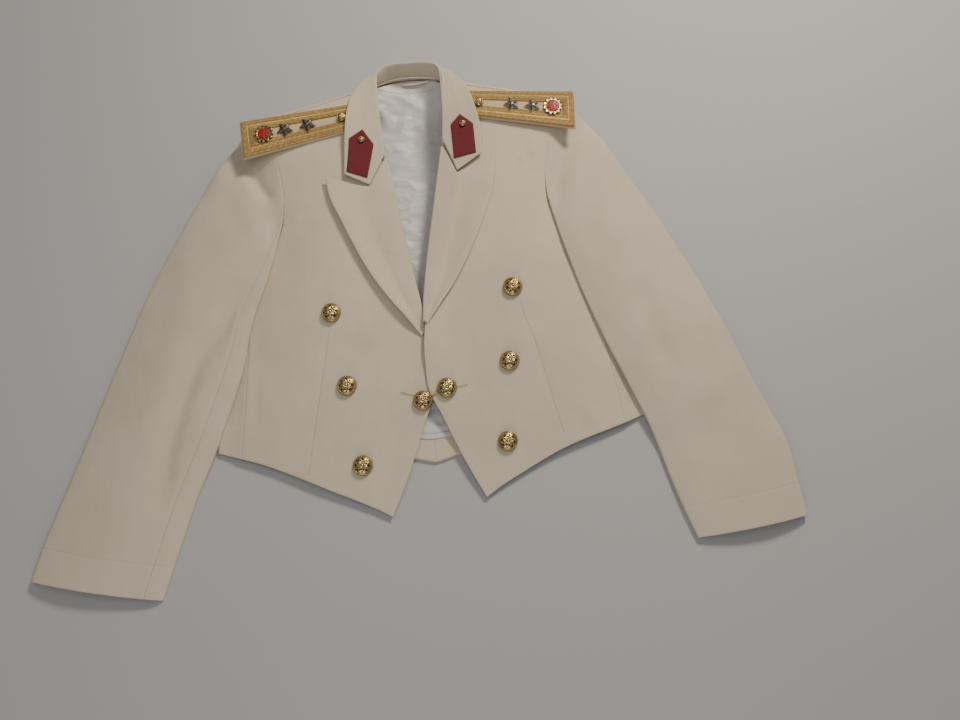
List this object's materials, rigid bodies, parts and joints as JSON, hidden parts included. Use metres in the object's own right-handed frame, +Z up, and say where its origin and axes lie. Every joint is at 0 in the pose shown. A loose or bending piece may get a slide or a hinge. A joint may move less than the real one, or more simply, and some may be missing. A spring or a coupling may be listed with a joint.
{
  "type": "jacket",
  "caption": "Short double-breasted mess jacket in ivory cloth, laid flat on its back, with peaked lapels, shoulder straps, gorget patches and brass buttons joined by a link",
  "frame": {"origin": "the middle of the bounding box's bottom, on the surface that the jacket lies on", "axes": "+X towards the wearer's left sleeve, +Y towards the collar, +Z up out of the jacket's front"},
  "size_m": [0.932, 0.6889, 0.0599],
  "materials": {
    "ivory_cloth": "matt ivory worsted with a fine twill",
    "white_lining": "white satin lining with a soft sheen",
    "gold_lace": "woven gold lace",
    "ivory_board": "ivory cloth over a stiff board",
    "dark_bronze": "dark oxidised metal stars",
    "red_enamel": "red enamel",
    "crimson_felt": "dark crimson felt",
    "gilt_brass": "gilt brass, struck with a plain rosette"
  },
  "bodies": {
    "root": {"back_left": "ivory_cloth", "back_lining": "white_lining", "back_right": "ivory_cloth", "collar": "ivory_cloth", "enamel_left": "red_enamel", "enamel_right": "red_enamel", "front_button_left_1": "gilt_brass", "front_button_left_2": "gilt_brass", "front_button_left_3": "gilt_brass", "front_button_right_1": "gilt_brass", "front_button_right_2": "gilt_brass", "front_button_right_3": "gilt_brass", "front_left": "ivory_cloth", "front_right": "ivory_cloth", "gorget_patch_left": "crimson_felt", "gorget_patch_right": "crimson_felt", "hem_turn": "ivory_cloth", "lace_left": "gold_lace", "lace_right": "gold_lace", "lapel_left": "ivory_cloth", "lapel_right": "ivory_cloth", "link_bar": "gilt_brass", "link_button_left": "gilt_brass", "link_button_right": "gilt_brass", "patch_button_left": "gilt_brass", "patch_button_right": "gilt_brass", "rosette_left": "gilt_brass", "rosette_right": "gilt_brass", "side_body_left": "ivory_cloth", "side_body_right": "ivory_cloth", "sleeve_top_left": "ivory_cloth", "sleeve_top_right": "ivory_cloth", "sleeve_under_left": "ivory_cloth", "sleeve_under_right": "ivory_cloth", "star_left_1": "dark_bronze", "star_left_2": "dark_bronze", "star_right_1": "dark_bronze", "star_right_2": "dark_bronze", "strap_button_left": "gilt_brass", "strap_button_right": "gilt_brass", "strap_left": "ivory_board", "strap_right": "ivory_board"}
  },
  "joints": []
}
